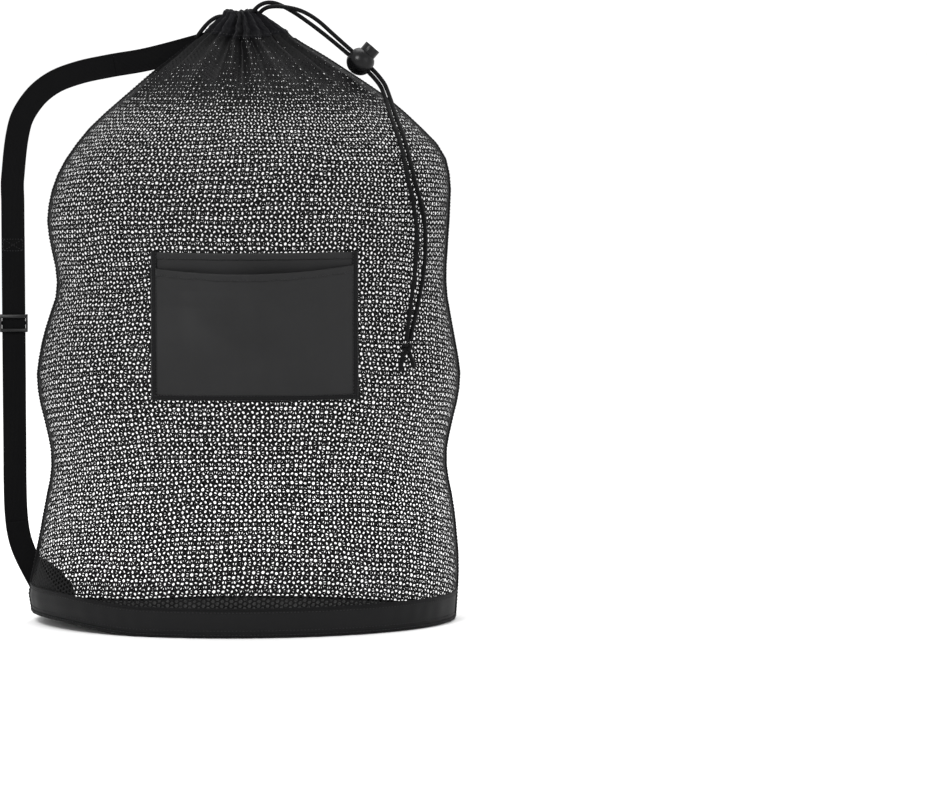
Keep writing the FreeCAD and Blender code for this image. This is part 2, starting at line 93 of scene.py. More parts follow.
# ---- the drawcord's routes, from inside the hem to the knot ----
UPPER_STRAND = [
    (0.012, -0.007, 0.775), (0.020, -0.016, 0.794), (0.044, -0.029, 0.799), (0.084, -0.030, 0.790),
    (0.1256, -0.027, 0.7514), (0.1776, -0.027, 0.7064), (0.188, -0.044, 0.679), (0.193, -0.069, 0.659),
    (0.205, -0.101, 0.628), (0.214, -0.130, 0.583), (0.229, -0.115, 0.533), (0.231, -0.106, 0.482),
    (0.224, -0.113, 0.431), (0.209, -0.141, 0.376),
]
LOWER_STRAND = [
    (0.002, -0.014, 0.776), (0.013, -0.017, 0.796), (0.034, -0.019, 0.805), (0.060, -0.019, 0.793),
    (0.090, -0.022, 0.772), (0.1216, -0.027, 0.7468), (0.1736, -0.027, 0.7018), (0.182, -0.049, 0.677),
    (0.187, -0.080, 0.656), (0.199, -0.112, 0.624), (0.206, -0.138, 0.581), (0.218, -0.126, 0.532),
    (0.219, -0.119, 0.481), (0.212, -0.127, 0.430), (0.204, -0.149, 0.375),
]
SIDE_LOOP = [(-0.015, -0.004, 0.776), (-0.034, -0.006, 0.800), (-0.062, -0.007, 0.756)]
LEFT_TAIL = [(0.202, -0.151, 0.359), (0.198, -0.153, 0.348), (0.196, -0.155, 0.336)]
RIGHT_TAIL = [(0.208, -0.147, 0.359), (0.212, -0.146, 0.350), (0.213, -0.146, 0.341)]


# ---- small helpers ----
def link(name, data):
    obj = bpy.data.objects.new(name, data)
    bpy.context.scene.collection.objects.link(obj)
    return obj


def link_mesh(name, verts, faces):
    mesh = bpy.data.meshes.new(name)
    mesh.from_pydata([tuple(v) for v in verts], [], [tuple(f) for f in faces])
    mesh.update()
    mesh.shade_smooth()
    return link(name, mesh)


def grid_faces(rows, cols, closed=True, ends=False):
    """Quads over rows by cols points; closed joins a row's end to its start, and ends caps both ends."""
    faces = []
    for r in range(rows - 1):
        for c in range(cols if closed else cols - 1):
            d = (c + 1) % cols
            faces.append((r * cols + c, r * cols + d, (r + 1) * cols + d, (r + 1) * cols + c))
    if ends:
        faces.append(tuple(reversed(range(cols))))
        faces.append(tuple((rows - 1) * cols + c for c in range(cols)))
    return faces


def fast_quads(name, verts, quads):
    """A mesh of quads from arrays, for the net's many faces."""
    mesh = bpy.data.meshes.new(name)
    mesh.vertices.add(len(verts))
    mesh.vertices.foreach_set("co", np.ascontiguousarray(verts, np.float32).ravel())
    mesh.loops.add(quads.size)
    mesh.loops.foreach_set("vertex_index", np.ascontiguousarray(quads, np.int32).ravel())
    mesh.polygons.add(len(quads))
    mesh.polygons.foreach_set("loop_start", np.arange(0, quads.size, 4, dtype=np.int32))
    mesh.update(calc_edges=True)
    mesh.shade_smooth()
    return link(name, mesh)


def apply_modifiers(obj):
    dg = bpy.context.evaluated_depsgraph_get()
    mesh = bpy.data.meshes.new_from_object(obj.evaluated_get(dg))
    obj.modifiers.clear()
    obj.data = mesh


def join(name, objects):
    bpy.ops.object.select_all(action="DESELECT")
    for o in objects:
        o.select_set(True)
    bpy.context.view_layer.objects.active = objects[0]
    bpy.ops.object.join()
    objects[0].name = name
    return objects[0]


def place(obj, body, material, slot, *replaced):
    obj.data.materials.clear()
    obj.data.materials.append(material)
    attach(obj, body)
    if replaced:
        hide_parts(*replaced)
    return obj


# ---- camera ----
VIEW_WIDTH = 1.209735        # metres across the picture at the bag


def make_camera():
    camera = link("camera", bpy.data.cameras.new("camera"))
    middle = Vector((0.284, 0, 0.2855))
    reach, lift = 6.0, math.radians(5)
    camera.location = (0, -reach * math.cos(lift), middle.z + reach * math.sin(lift))
    sight = middle - camera.location
    camera.data.sensor_width = 36
    camera.data.lens = 36 * sight.length / VIEW_WIDTH
    camera.rotation_mode = "QUATERNION"
    camera.rotation_quaternion = sight.to_track_quat("-Z", "Y")
    bpy.context.scene.camera = camera


make_camera()


# ---- the body's form, measured on the CAD panels ----
def measure_body():
    """Heights, middles, half widths and half depths of the CAD net body."""
    trees = []
    for name in ("front_mesh_panel", "back_mesh_panel", "base_band"):
        mesh = nodes[name].data
        faces = [p.vertices for p in mesh.polygons]
        trees.append(BVHTree.FromPolygons([v.co for v in mesh.vertices], faces))

    def reach(origin, direction):
        hits = [t.ray_cast(Vector(origin), Vector(direction))[3] for t in trees]
        return min(h for h in hits if h is not None)

    beside = 0.003           # just off the seam, where a panel's own cloth is met
    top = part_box("front_mesh_panel")[1].z
    heights = np.concatenate([np.linspace(FOOT, 0.68, 35), np.linspace(0.69, top - 0.001, 12)])
    rows = []
    for z in heights:
        left = -1 + reach((-1, beside, z), (1, 0, 0))
        right = 1 - reach((1, beside, z), (-1, 0, 0))
        front = 1 - reach(((left + right) / 2, -1, z), (0, 1, 0))
        rows.append(((left + right) / 2, (right - left) / 2, front))
    heights = np.append(heights, [h[0] for h in HEM_SECTIONS])
    rows += [h[1:] for h in HEM_SECTIONS]
    return heights, np.array(rows)


HEIGHTS, ROWS = measure_body()


def section(z):
    """Middle, half width and half depth at heights z."""
    z = np.clip(z, HEIGHTS[0], HEIGHTS[-1])
    return [np.interp(z, HEIGHTS, ROWS[:, k]) for k in range(3)]


SHARES = np.linspace(0, 1, 91)


def angle_table():
    """The angle at each share of the way round a panel, for each height, by arc length."""
    turn = np.linspace(0, math.pi, 361)
    table = []
    for _, wide, deep in ROWS:
        x, y = wide * np.cos(turn), deep * np.sin(turn)
        length = np.concatenate([[0], np.cumsum(np.hypot(np.diff(x), np.diff(y)))])
        table.append(np.interp(SHARES, length / length[-1], turn))
    return np.array(table)


ANGLES = angle_table()


def body_angle(share, z):
    """Share 0 to 1 runs from the left seam over the front to the right; 1 to 2 back round behind."""
    share = np.asarray(share, float) % 2.0
    half = np.where(share <= 1.0, share, share - 1.0)
    z = np.clip(z, HEIGHTS[0], HEIGHTS[-1])
    row = np.interp(z, HEIGHTS, np.arange(len(HEIGHTS)))
    col = half * (len(SHARES) - 1)
    r0 = np.minimum(row.astype(int), len(HEIGHTS) - 2)
    c0 = np.minimum(col.astype(int), len(SHARES) - 2)
    fr, fc = row - r0, col - c0
    low = ANGLES[r0, c0] * (1 - fc) + ANGLES[r0, c0 + 1] * fc
    high = ANGLES[r0 + 1, c0] * (1 - fc) + ANGLES[r0 + 1, c0 + 1] * fc
    turn = low * (1 - fr) + high * fr
    return np.where(share <= 1.0, math.pi + turn, turn)


def smoothstep(t):
    t = np.clip(t, 0, 1)
    return t * t * (3 - 2 * t)


def pleat_depth(share, z):
    """How far the gathered net is pulled in at a point near the neck."""
    drawn = smoothstep((z - 0.650) / 0.095)
    turn = 2 * math.pi * share
    sway = 0.9 * np.sin(turn * 1.5 + 0.6) + 0.5 * np.sin(turn * 3.5 + 2.0)
    wave = np.cos(math.pi * PLEATS * share + sway)
    uneven = 0.75 + 0.25 * np.sin(turn * 2.5 + 1.1)
    fold = (1 - np.abs(wave) ** 1.4 * np.sign(wave)) / 2
    deepest = np.minimum(DEEPEST_PLEAT, 0.36 * section(z)[1])
    off_seam = 1 - 0.78 * np.exp(-((np.sin(math.pi * share) / 0.3) ** 2))
    return deepest * drawn * uneven * fold * off_seam


def slack(share, z):
    """The gentle hollows and swells of net held out by what fills the bag."""
    turn = math.pi * share
    swell = np.cos(3 * turn + 0.4) * np.sin(z * 27 + 0.8) * 0.5
    swell = swell + np.cos(5 * turn + 1.9) * np.sin(z * 19 + 2.1) * 0.35
    ripple = np.sin(11 * turn + 17 * z) * np.sin(43 * z + 3 * turn) * 0.18
    settle = smoothstep((z - 0.04) / 0.08) * (1 - smoothstep((z - 0.62) / 0.1))
    off_seam = np.minimum(np.abs(np.sin(turn)) * 3, 1)
    return 0.0055 * (swell + ripple - 0.5) * settle * off_seam


def corner_rise(x, z):
    """The strap side's bottom corner stands a little off the ground."""
    return 0.012 * smoothstep((-0.13 - x) / 0.14) * (1 - smoothstep(z / 0.2))


def body_point(share, z, lift=0.0):
    """Points of the bag's cloth, lifted outwards."""
    share, z = np.broadcast_arrays(np.asarray(share, float), np.asarray(z, float))
    middle, wide, deep = section(z)
    angle = body_angle(share, z)
    out = lift + slack(share, z) - pleat_depth(share, z)
    x = middle + (wide + out) * np.cos(angle)
    y = (deep + out) * np.sin(angle)
    return np.stack([x, y, z + corner_rise(x, z)], axis=-1)


# ---- materials ----
def new_material(name):
    material = bpy.data.materials.new(name)
    material.use_nodes = True
    tree = material.node_tree
    tree.nodes.clear()
    out = tree.nodes.new("ShaderNodeOutputMaterial")
    shader = tree.nodes.new("ShaderNodeBsdfPrincipled")
    tree.links.new(shader.outputs[0], out.inputs[0])
    return material, tree, shader


def node(tree, kind, inputs=None, **settings):
    made = tree.nodes.new("ShaderNode" + kind)
    for key, value in settings.items():
        setattr(made, key, value)
    for key, value in (inputs or {}).items():
        if isinstance(value, bpy.types.NodeSocket):
            tree.links.new(value, made.inputs[key])
        else:
            made.inputs[key].default_value = value
    return made


def ramp(tree, factor, low, high, start=0.3, end=0.7):
    made = node(tree, "ValToRGB", {"Fac": factor})
    made.color_ramp.elements[0].position = start
    made.color_ramp.elements[0].color = (*low, 1)
    made.color_ramp.elements[1].position = end
    made.color_ramp.elements[1].color = (*high, 1)
    return made.outputs["Color"]


def object_place(tree):
    return node(tree, "TexCoord").outputs["Object"]


def noise(tree, place_at, scale, detail):
    return node(tree, "TexNoise", {"Vector": place_at, "Scale": scale, "Detail": detail}).outputs["Fac"]


def bands(tree, place_at, axis, scale, distortion, **more):
    inputs = {"Vector": place_at, "Scale": scale, "Distortion": distortion, **more}
    return node(tree, "TexWave", inputs, bands_direction=axis).outputs["Fac"]


def combine(tree, first, second, operation="MULTIPLY"):
    return node(tree, "Math", {0: first, 1: second}, operation=operation).outputs[0]


def surface(tree, shader, colour, tone, span, rough, height, strength, depth):
    """Colour, roughness where the tone runs over its span, and bumps from a height."""
    tree.links.new(colour, shader.inputs["Base Color"])
    spread = node(tree, "MapRange", {
        "Value": tone, "From Min": span[0], "From Max": span[1], "To Min": rough[0], "To Max": rough[1],
    })
    tree.links.new(spread.outputs[0], shader.inputs["Roughness"])
    lumps = node(tree, "Bump", {"Height": height, "Strength": strength, "Distance": depth})
    tree.links.new(lumps.outputs[0], shader.inputs["Normal"])


BANDS_PER_SCALE = 3.18       # bands to a metre of a wave texture whose scale is 1
WHOLE, MIDDLE = (0.0, 1.0), (0.3, 0.7)


def cloth_material(
    name, dark, light, thread, bump, rough=(0.62, 0.8), sheen=0.04, gloss=0.12, diagonal=False,
):
    """Woven cloth: two crossed sets of threads, with faint mottling."""
    material, tree, shader = new_material(name)
    place_at = object_place(tree)
    lean = math.radians(45 if diagonal else 0)
    turned = node(tree, "Mapping", {"Vector": place_at, "Rotation": (0.0, lean, 0.0)}).outputs[0]
    scale = 1 / thread / BANDS_PER_SCALE
    detail = {"Detail": 1.0, "Detail Scale": 3.0}
    weave = combine(tree, *(bands(tree, turned, axis, scale, 0.6, **detail) for axis in "XZ"))
    cloud = noise(tree, place_at, 14.0, 5.0)
    colour = ramp(tree, combine(tree, weave, cloud), dark, light, 0.02, 0.5)
    surface(tree, shader, colour, cloud, MIDDLE, rough, weave, bump, 0.0004)
    shader.inputs["Sheen Weight"].default_value = sheen
    shader.inputs["Sheen Roughness"].default_value = 0.5
    shader.inputs["Specular IOR Level"].default_value = gloss
    return material


def net_material():
    """Black polyester yarn with a faint broken sheen along the strands."""
    material, tree, shader = new_material("net_yarn")
    place_at = object_place(tree)
    fibre = noise(tree, place_at, 1400.0, 2.0)
    colour = ramp(tree, noise(tree, place_at, 30.0, 4.0), (0.0022, 0.0022, 0.0024), (0.006, 0.006, 0.0063))
    surface(tree, shader, colour, fibre, WHOLE, (0.42, 0.7), fibre, 0.4, 0.0003)
    shader.inputs["Specular IOR Level"].default_value = 0.07
    return material


def webbing_material():
    """Webbing seen along its threads: fine cross ribs and rows down the length."""
    material, tree, shader = new_material("strap_webbing")
    place_at = node(tree, "UVMap", uv_map="along").outputs[0]
    ribs = bands(tree, place_at, "Y", 260.0, 0.4, Detail=1.0)
    rows = bands(tree, place_at, "X", 190.0, 0.2, Detail=1.0)
    weave = combine(tree, ribs, rows)
    worn = noise(tree, object_place(tree), 22.0, 6.0)
    dark, light = (0.0010, 0.0010, 0.0012), (0.0045, 0.0045, 0.0048)
    colour = ramp(tree, combine(tree, weave, worn), dark, light, 0.0, 0.55)
    surface(tree, shader, colour, worn, MIDDLE, (0.5, 0.7), weave, 0.5, 0.0005)
    shader.inputs["Sheen Weight"].default_value = 0.004
    shader.inputs["Specular IOR Level"].default_value = 0.04
    return material


def braid_material():
    """Braided cord: crossing diagonal yarns, from the tube's own length and girth."""
    material, tree, shader = new_material("braided_cord")
    place_at = node(tree, "UVMap", uv_map="along").outputs[0]
    turned = []
    for slope in (38, -38):
        spun = node(tree, "Mapping", {"Vector": place_at, "Rotation": (0.0, 0.0, math.radians(slope))})
        turned.append(bands(tree, spun.outputs[0], "X", 230.0, 0.2))
    braid = combine(tree, *turned, operation="MAXIMUM")
    colour = ramp(tree, braid, (0.0010, 0.0010, 0.0012), (0.0055, 0.0055, 0.0059), 0.2, 1.0)
    surface(tree, shader, colour, braid, WHOLE, (0.62, 0.4), braid, 0.8, 0.0006)
    shader.inputs["Specular IOR Level"].default_value = 0.06
    return material


def plastic_material(name, rough, colour):
    """Moulded plastic with a fine spark-eroded grain and softly rubbed patches."""
    material, tree, shader = new_material(name)
    place_at = object_place(tree)
    grain, rubbed = noise(tree, place_at, 900.0, 3.0), noise(tree, place_at, 60.0, 5.0)
    tint = ramp(tree, rubbed, colour, tuple(c * 1.6 for c in colour))
    surface(tree, shader, tint, rubbed, MIDDLE, (rough - 0.06, rough + 0.1), grain, 0.12, 0.0002)
    shader.inputs["Specular IOR Level"].default_value = 0.19
    return material


def steel_material():
    material, tree, shader = new_material("spring_steel")
    drawn = noise(tree, object_place(tree), 500.0, 2.0)
    tree.links.new(ramp(tree, drawn, (0.42, 0.42, 0.43), (0.6, 0.6, 0.61)), shader.inputs["Base Color"])
    shader.inputs["Metallic"].default_value = 1.0
    shader.inputs["Roughness"].default_value = 0.3
    return material


NET = net_material()
PANEL_CLOTH = cloth_material("band_cloth", (0.0035, 0.0035, 0.0038), (0.011, 0.011, 0.0115), 0.0011, 0.35)
POCKET_CLOTH = cloth_material(
    "pocket_cloth", (0.0048, 0.0048, 0.0051), (0.019, 0.019, 0.0195), 0.0012, 0.3, (0.45, 0.6), 0.03, 0.16,
)
HEM_CLOTH = cloth_material(
    "hem_cloth", (0.0016, 0.0016, 0.0023), (0.0055, 0.0055, 0.0074), 0.0018, 0.6, sheen=0.025, gloss=0.07,
)
TAPE = cloth_material(
    "binding_tape", (0.0025, 0.0025, 0.0028), (0.009, 0.009, 0.0095), 0.0014, 0.5,
    sheen=0.025, gloss=0.08, diagonal=True,
)
THREAD = cloth_material("sewing_thread", (0.01, 0.01, 0.0105), (0.035, 0.035, 0.036), 0.0006, 0.5)
WEBBING = webbing_material()
BRAID = braid_material()
SLIDER_PLASTIC = plastic_material("slider_plastic", 0.34, (0.004, 0.004, 0.0043))
LOCK_PLASTIC = plastic_material("lock_plastic", 0.3, (0.0020, 0.0020, 0.0022))
STEEL = steel_material()


# ---- cords ----
def route_curve(name, points):
    curve = bpy.data.curves.new(name, "CURVE")
    curve.dimensions = "3D"
    curve.resolution_u = 14
    spline = curve.splines.new("NURBS")
    spline.points.add(len(points) - 1)
    for point, co in zip(spline.points, points):
        point.co = (*co, 1)
    spline.order_u = 3
    spline.use_endpoint_u = True
    return link(name, curve)


def spline_path(name, points):
    """The points along the route's NURBS spline."""
    obj = route_curve(name, points)
    dg = bpy.context.evaluated_depsgraph_get()
    mesh = bpy.data.meshes.new_from_object(obj.evaluated_get(dg))
    path = [v.co.copy() for v in mesh.vertices]
    bpy.data.objects.remove(obj)
    return path


def tube(name, path, radius, sides=14, closed_ends=True):
    """A mesh tube along a path, with a UV map in metres: x round the girth, y along the length."""
    path = [Vector(p) for p in path]
    tangents = [(b - a).normalized() for a, b in zip(path, path[1:])]
    tangents.append(tangents[-1])
    side = tangents[0].orthogonal().normalized()
    verts, along = [], [0.0]
    for i, (point, tangent) in enumerate(zip(path, tangents)):
        side = (side - tangent * side.dot(tangent)).normalized()
        up = tangent.cross(side)
        if i:
            along.append(along[-1] + (point - path[i - 1]).length)
        for k in range(sides):
            a = 2 * math.pi * k / sides
            verts.append(point + (side * math.cos(a) + up * math.sin(a)) * radius)
    obj = link_mesh(name, verts, grid_faces(len(path), sides, ends=closed_ends))
    layer = obj.data.uv_layers.new(name="along")
    girth = 2 * math.pi * radius
    for poly in obj.data.polygons:
        ring_face = poly.index < (len(path) - 1) * sides
        k = poly.index % sides
        for n, loop in enumerate(poly.loop_indices):
            vertex = obj.data.loops[loop].vertex_index
            step = (k + 1 if ring_face and n in (1, 2) else vertex % sides) / sides
            layer.data[loop].uv = (step * girth, along[vertex // sides])
    return obj


def make_cords():
    for name, route in (("upper", UPPER_STRAND), ("lower", LOWER_STRAND)):
        path = spline_path(name, route)
        strand = tube(f"drawcord_{name}", path, CORD_DIAMETER / 2)
        place(strand, "bag", BRAID, "cord", f"drawcord_{name}_strand")
    loop = tube("drawcord_loop", spline_path("loop", SIDE_LOOP), CORD_DIAMETER / 2)
    place(loop, "bag", BRAID, "cord", "drawcord_side_loop")
    for name, route in (("left", LEFT_TAIL), ("right", RIGHT_TAIL)):
        path = spline_path(name, route)
        tail = tube(f"drawcord_tail_{name}", path, CORD_DIAMETER / 2)
        place(tail, "bag", BRAID, "cord", f"drawcord_{name}_tail")
    knot = make_knot()


def make_knot():
    """An overhand knot tied with both strands side by side."""
    low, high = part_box("drawcord_knot")
    middle = (low + high) / 2
    size = (high - low).z / 2
    parts = []
    for shift in (-0.5, 0.5):
        path = []
        for i in range(97):
            t = 2 * math.pi * i / 96
            x = (math.sin(t) + 2 * math.sin(2 * t)) * size * 0.21
            z = (math.cos(t) - 2 * math.cos(2 * t)) * size * 0.21
            y = -math.sin(3 * t) * size * 0.32 + shift * CORD_DIAMETER * 0.5
            path.append(middle + Vector((x, y, z)))
        parts.append(tube("wrap", path, CORD_DIAMETER * 0.44, closed_ends=False))
    knot = join("drawcord_overhand_knot", parts)
    return place(knot, "bag", BRAID, "cord", "drawcord_knot")


# ---- net ----
CORNERS = [(2, 0), (1, 1), (-1, 1), (-2, 0), (-1, -1), (1, -1)]


def slope_table(low, high):
    """Cloth length up the body's side against height."""
    z = np.linspace(low, high, 1500)
    _, wide, deep = section(z)
    run = np.hypot(np.diff(z), np.diff(wide + deep) / 2)
    return z, np.concatenate([[0], np.cumsum(run)])


def wander(u, v, top, side):
    """Slow drift of the knit off its even lattice: across as a share of the width, and up in metres."""
    phase = 1.7 + 2.9 * side
    free = np.minimum(np.sin(math.pi * np.clip(u, 0, 1)) * 5, 1)
    free = free * np.clip(v / 0.05, 0, 1) * np.clip((top - v) / 0.06, 0, 1)
    turn = 2 * math.pi * u
    across = 0.0010 * np.sin(3.3 * turn + 19 * v + phase) + 0.0006 * np.sin(5.9 * turn - 37 * v + 2 * phase)
    upward = 0.0010 * np.sin(2.7 * turn - 23 * v + 3 * phase) + 0.0006 * np.sin(6.7 * turn + 29 * v + phase)
    upward = upward + 0.016 * (u - 0.5) * smoothstep((v - 0.62) / 0.2)
    return u + across * free / FLAT_WIDTH, v + upward * free


def bunching(share, z):
    """How far the holes are closed where the drawn neck crowds the yarn, most of all down in the folds."""
    crowded = smoothstep((z - 0.640) / 0.105)
    folded = pleat_depth(share, z) / DEEPEST_PLEAT
    return 1 - (1 - 0.52 * crowded) * (1 - 0.72 * np.clip(folded, 0, 1))


def net_piece(name, side, low, part):
    """Knitted net with six-sided holes; side 0 is the front panel, and 1 the back, knitted crosswise."""
    z_table, run = slope_table(low, NET_TOP)
    crosswise = side == 1
    spans = (run[-1], FLAT_WIDTH) if crosswise else (FLAT_WIDTH, run[-1])
    columns, rows = int(spans[0] / HOLE_COLUMN), int(spans[1] / HOLE_ROW)
    cut = [(columns if crosswise else rows) * (part + k) // NET_PARTS for k in (0, 1)]
    ranges = (np.arange(*cut), np.arange(rows)) if crosswise else (np.arange(columns), np.arange(*cut))
    i, j = (a.ravel() for a in np.meshgrid(*ranges, indexing="ij"))
    sides = len(CORNERS)
    ka = np.stack([3 * i + a for a, _ in CORNERS], 1) * 2
    kb = np.stack([2 * j + 1 + i % 2 + b for _, b in CORNERS], 1) * 2
    keys, border = np.unique(np.stack([ka.ravel(), kb.ravel()], 1), axis=0, return_inverse=True)
    border = border.reshape(len(i), sides)
    turn = 2 * math.pi * np.arange(sides) / sides
    centre_a, centre_b = (i + 0.5) * HOLE_COLUMN, (2 * j + 1 + i % 2) / 2 * HOLE_ROW
    if crosswise:
        centre_u, centre_v = centre_b / ((rows + 0.5) * HOLE_ROW), centre_a
    else:
        centre_u, centre_v = centre_a / (columns * HOLE_COLUMN), centre_b
    closed = bunching(centre_u + side, np.interp(centre_v, run, z_table))
    size = (HOLE_RADIUS * (1 - closed) * (1 + 0.05 * rng.standard_normal(len(i))))[:, None]
    drift = 0.00012 * rng.standard_normal((2, len(i), 1))
    hole_a = centre_a[:, None] + size * np.cos(turn) + drift[0]
    hole_b = centre_b[:, None] + size * np.sin(turn) + drift[1]
    across_columns = np.concatenate([(keys[:, 0] / 6 + 0.5) * HOLE_COLUMN, hole_a.ravel()])
    along_columns = np.concatenate([keys[:, 1] / 4 * HOLE_ROW, hole_b.ravel()])
    if crosswise:
        u, v = along_columns / ((rows + 0.5) * HOLE_ROW), across_columns
    else:
        u, v = across_columns / (columns * HOLE_COLUMN), along_columns
    u, v = wander(u, v, run[-1], side)
    lift = np.concatenate([np.full(len(keys), STRAND_CROWN), np.zeros(hole_a.size)])
    verts = body_point(np.clip(u, 0.0005, 0.9995) + side, np.interp(v, run, z_table), lift)
    holes = len(keys) + np.arange(len(i) * sides).reshape(len(i), sides)
    quads = np.stack([border, np.roll(border, -1, 1), np.roll(holes, -1, 1), holes], 2).reshape(-1, 4)
    net = fast_quads(name, verts, quads[:, ::-1] if crosswise else quads)
    yarn_share = 1 - math.pi * HOLE_RADIUS**2 / (HOLE_COLUMN * HOLE_ROW)
    length = (cut[1] - cut[0]) * (HOLE_COLUMN if crosswise else HOLE_ROW)
    return net, (FLAT_WIDTH, length), FLAT_WIDTH * length * yarn_share


def make_net():
    for side, name, low in ((0, "front", 0.036), (1, "back", FOOT)):
        for part in range(NET_PARTS):
            piece, flat, area = net_piece(f"{name}_net_{part + 1}", side, low, part)
            place(piece, "bag", NET, "net", f"{name}_mesh_panel")


# ---- cloth strips, stitches, seams and base ----
def grid_mesh(name, grid, thickness=0.0, closed_u=False):
    """A sheet through a grid of points; thickness grows it inwards from the outer face."""
    obj = link_mesh(name, grid.reshape(-1, 3), grid_faces(*grid.shape[:2], closed_u))
    if thickness:
        solid = obj.modifiers.new("solid", "SOLIDIFY")
        solid.thickness = thickness
        solid.offset = -1
        apply_modifiers(obj)
    return obj


def stitches(name, rows, length=0.0032, gap=0.0014, width=0.00045):
    """Sewing thread along rows; each row is a function that gives its points at a lift off the cloth."""
    verts, faces = [], []
    for row in rows:
        low, high = row(0.0), row(0.001)
        steps = np.linalg.norm(np.diff(low, axis=0), axis=1)
        run = np.concatenate([[0], np.cumsum(steps)])
        count = max(1, int(run[-1] / (length + gap)))
        pitch = run[-1] / count
        for n in range(count):
            first = n * pitch + gap / 2
            ends = [first, first + length * 0.3, first + length * 0.7, (n + 1) * pitch - gap / 2]
            points = [np.array([np.interp(e, run, low[:, k]) for k in range(3)]) for e in ends]
            up = np.array([np.interp(ends[1], run, (high - low)[:, k]) for k in range(3)])
            up /= np.linalg.norm(up)
            across = np.cross(points[-1] - points[0], up)
            across /= np.linalg.norm(across)
            base = len(verts)
            verts.append(points[0] - up * width)
            for point in points[1:3]:
                for a, b in ((1, 0), (0, 1), (-1, 0), (0, -1)):
                    verts.append(point + across * a * width + up * (b * width + width * 0.4))
            verts.append(points[3] - up * width)
            for k in range(4):
                m = (k + 1) % 4
                faces.append((base, base + 1 + k, base + 1 + m))
                faces.append((base + 1 + k, base + 5 + k, base + 5 + m, base + 1 + m))
                faces.append((base + 9, base + 5 + m, base + 5 + k))
    obj = link_mesh(name, verts, faces)
    return place(obj, "bag", THREAD, "binding_tape")


def body_row(shares, heights, lift):
    shares, heights = np.broadcast_arrays(shares, heights)
    return lambda extra: body_point(shares % 2.0, heights, lift + extra)


def tape(name, shares, heights, replaced):
    """A folded tape with a rounded section, laid over the body; the shorter list runs across it."""
    raise_by = np.array([0.15, 0.75, 1.0, 1.0, 1.0, 0.75, 0.15]) * TAPE_THICK
    s, z = np.meshgrid(shares, heights)
    wobble = 0.0003 * np.sin(s * 190) + 0.0002 * np.sin(z * 160)
    across = len(heights) == len(raise_by)
    rise = raise_by[:, None] if across else raise_by[None, :]
    obj = grid_mesh(name, body_point(s % 2.0, z, rise + wobble), TAPE_THICK * 0.8)
    return place(obj, "bag", TAPE, "binding_tape", replaced)


def make_seams():
    heights = np.linspace(FOOT, HEM_FOOT, 300)
    wide = np.linspace(-0.0062, 0.0062, 7)
    for name, share in (("left", 0.0), ("right", 1.0)):
        seam = tape(f"{name}_seam_tape", share + wide, heights, f"{name}_seam_binding")
        rows = [body_row(share + k, heights[::2], TAPE_THICK) for k in (-0.0036, 0.0036)]
        stitches(f"{name}_seam_stitches", rows)


def make_band():
    """The solid band across the front's foot, with piping on its top edge."""
    s, z = np.meshgrid(np.linspace(0, 1, 260), np.linspace(0.0025, 0.0385, 12))
    pucker = 0.0003 * np.sin(s * 140 + 3 * np.sin(s * 23)) * np.sin(math.pi * (z - 0.002) / 0.037)
    band = grid_mesh("base_band_cloth", body_point(s, z, 0.0008 + pucker), 0.0013)
    place(band, "bag", PANEL_CLOTH, "solid_fabric", "base_band")
    piping = tube("base_band_cord", body_point(np.linspace(0.004, 0.996, 260), 0.038, 0.0012), 0.0015, 8)
    place(piping, "bag", TAPE, "binding_tape", "base_band_piping")


def make_foot_tapes():
    heights = np.array([0.0002, 0.0007, 0.0016, 0.0028, 0.0040, 0.0050, 0.0056])
    for name, start in (("front", 0.0), ("back", 1.0)):
        shares = np.linspace(start + 0.001, start + 0.999, 240)
        foot = tape(f"{name}_base_tape", shares, heights, f"{name}_base_binding")
        row = body_row(np.linspace(start + 0.004, start + 0.996, 300), 0.0040, TAPE_THICK)
        stitches(f"{name}_base_stitches", [row])


def make_band_stitches():
    """Rows along both edges of the band, and one down its left end."""
    rows = [body_row(np.linspace(0.004, 0.996, 300), z, 0.0009) for z in (0.0335, 0.0095)]
    rows.append(body_row(0.014, np.linspace(0.008, 0.036, 12), 0.0009))
    stitches("base_band_stitches", rows)


def make_base_cloth():
    rings = np.linspace(0.02, 0.992, 26)
    turn = np.linspace(0, 2 * math.pi, 145)[:-1]
    middle, wide, deep = section(FOOT)
    r, a = np.meshgrid(rings, turn, indexing="ij")
    z = 0.0016 + 0.0004 * np.sin(9 * a + 7 * r) * np.sin(15 * r) * (1 - r)
    x = middle + wide * r * np.cos(a)
    oval = np.stack([x, deep * r * np.sin(a), z + corner_rise(x, z)], -1)
    floor_cloth = grid_mesh("base_cloth", oval, 0.0012, closed_u=True)
    place(floor_cloth, "bag", PANEL_CLOTH, "solid_fabric", "base_panel")


def make_corner_patch():
    """The doubled cloth inside the corner below the strap, on both sides of the seam."""
    inside = -0.004          # it lies this far in from the net
    foot, peak, fall = 0.004, 0.112, 1.28421     # its top edge falls from the peak towards the middle
    grid = []
    for t in np.linspace(0, 1, 14):
        row = []
        for s in np.linspace(-0.16, 0.16, 60):
            z = 0.05
            for _ in range(4):
                x = body_point(s % 2.0, z, inside)[0]
                top = peak - (x - STRAP_X) * fall
                z = foot + t * max(top - foot, 0.0008)
            row.append(body_point(s % 2.0, z, inside))
        grid.append(row)
    patch = grid_mesh("corner_patch_cloth", np.array(grid), 0.0011)
    place(patch, "bag", PANEL_CLOTH, "solid_fabric", "corner_patch")


